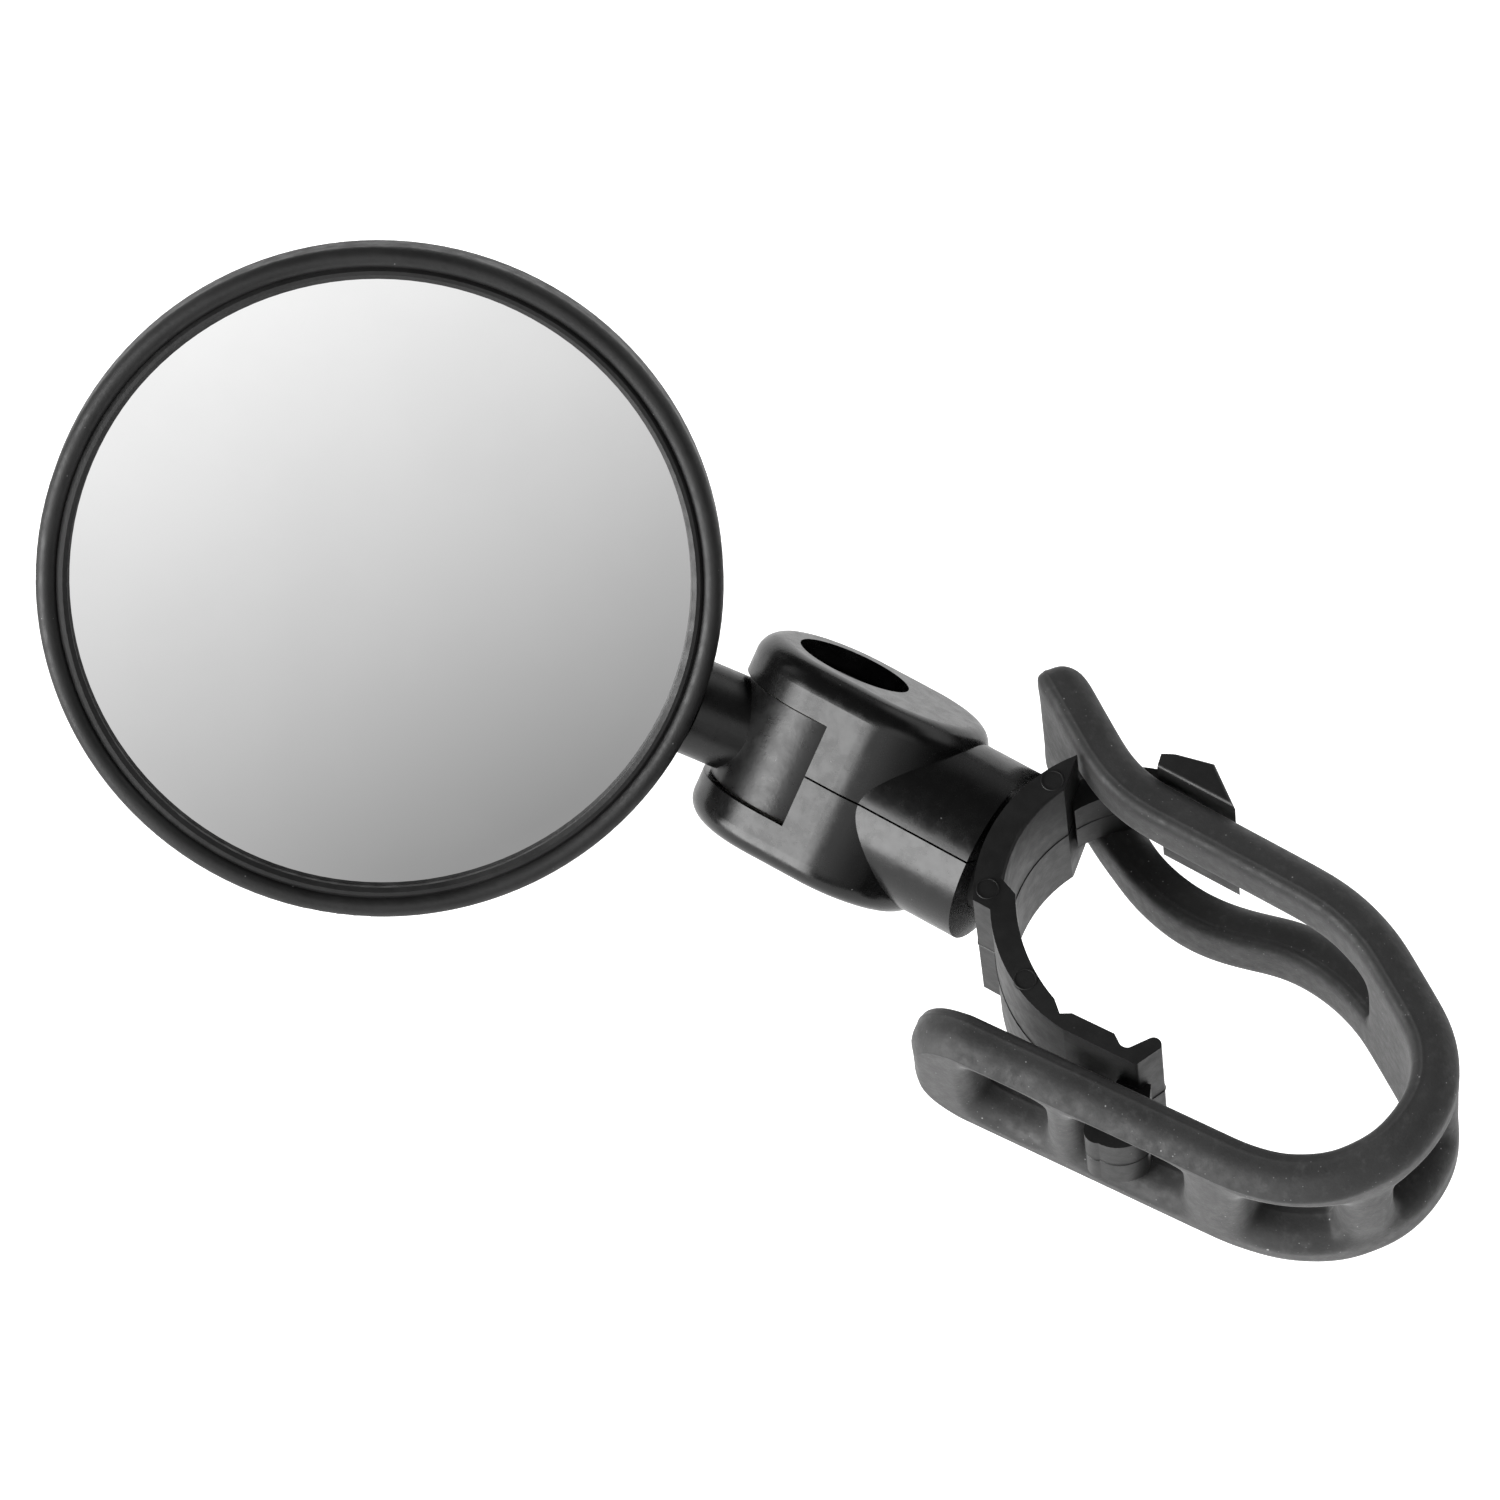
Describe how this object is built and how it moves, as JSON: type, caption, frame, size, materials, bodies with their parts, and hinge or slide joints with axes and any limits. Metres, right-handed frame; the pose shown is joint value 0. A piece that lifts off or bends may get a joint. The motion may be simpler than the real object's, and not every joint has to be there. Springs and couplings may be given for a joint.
{
  "type": "bicycle handlebar mirror",
  "caption": "Small round convex bicycle mirror on a two-axis friction hinge, held to a handlebar by a slotted rubber strap.",
  "frame": {"origin": "centre of the bar seat, on the handlebar's axis at the middle of the saddle's width", "axes": "+Z along the handlebar, +X from the bar out along the arm to the mirror, +Y across, towards the hook for the strap's tail"},
  "size_m": [0.1185, 0.0485, 0.0439],
  "materials": {
    "saddle_plastic": "black moulded plastic, fine matte texture",
    "strap_rubber": "dark grey moulded rubber, dry and matte",
    "hinge_plastic": "black moulded plastic, satin",
    "washer_nylon": "natural nylon",
    "ring_rubber": "black rubber",
    "fastener_steel": "black oxide steel",
    "housing_plastic": "black moulded plastic, lightly rough",
    "bezel_plastic": "black moulded plastic, lightly rough with turned ridges",
    "adhesive_foam": "white foam tape",
    "mirror_face": "polished convex mirror"
  },
  "bodies": {
    "saddle": {"bar_saddle": "saddle_plastic", "rubber_strap": "strap_rubber"},
    "hinge": {"upper_shell": "hinge_plastic", "lower_shell": "hinge_plastic", "upper_friction_washer": "washer_nylon", "lower_friction_washer": "washer_nylon", "swivel_friction_ring": "ring_rubber", "screw_washer": "fastener_steel", "clamp_screw": "fastener_steel", "clamp_nut": "fastener_steel"},
    "mirror_head": {"mirror_housing": "housing_plastic", "mirror_bezel": "bezel_plastic", "lens_adhesive_ring": "adhesive_foam", "mirror_lens": "mirror_face"}
  },
  "joints": [
    {"name": "hinge_swivel", "type": "hinge", "parent": "saddle", "child": "hinge", "pos_m": [0.0164, 0, 0], "axis": [1, 0, 0], "continuous": true},
    {"name": "mirror_fold", "type": "hinge", "parent": "hinge", "child": "mirror_head", "pos_m": [0.0315, 0, 0], "axis": [0, -0.8271, 0.5621], "range_deg": [-100, 50]}
  ]
}
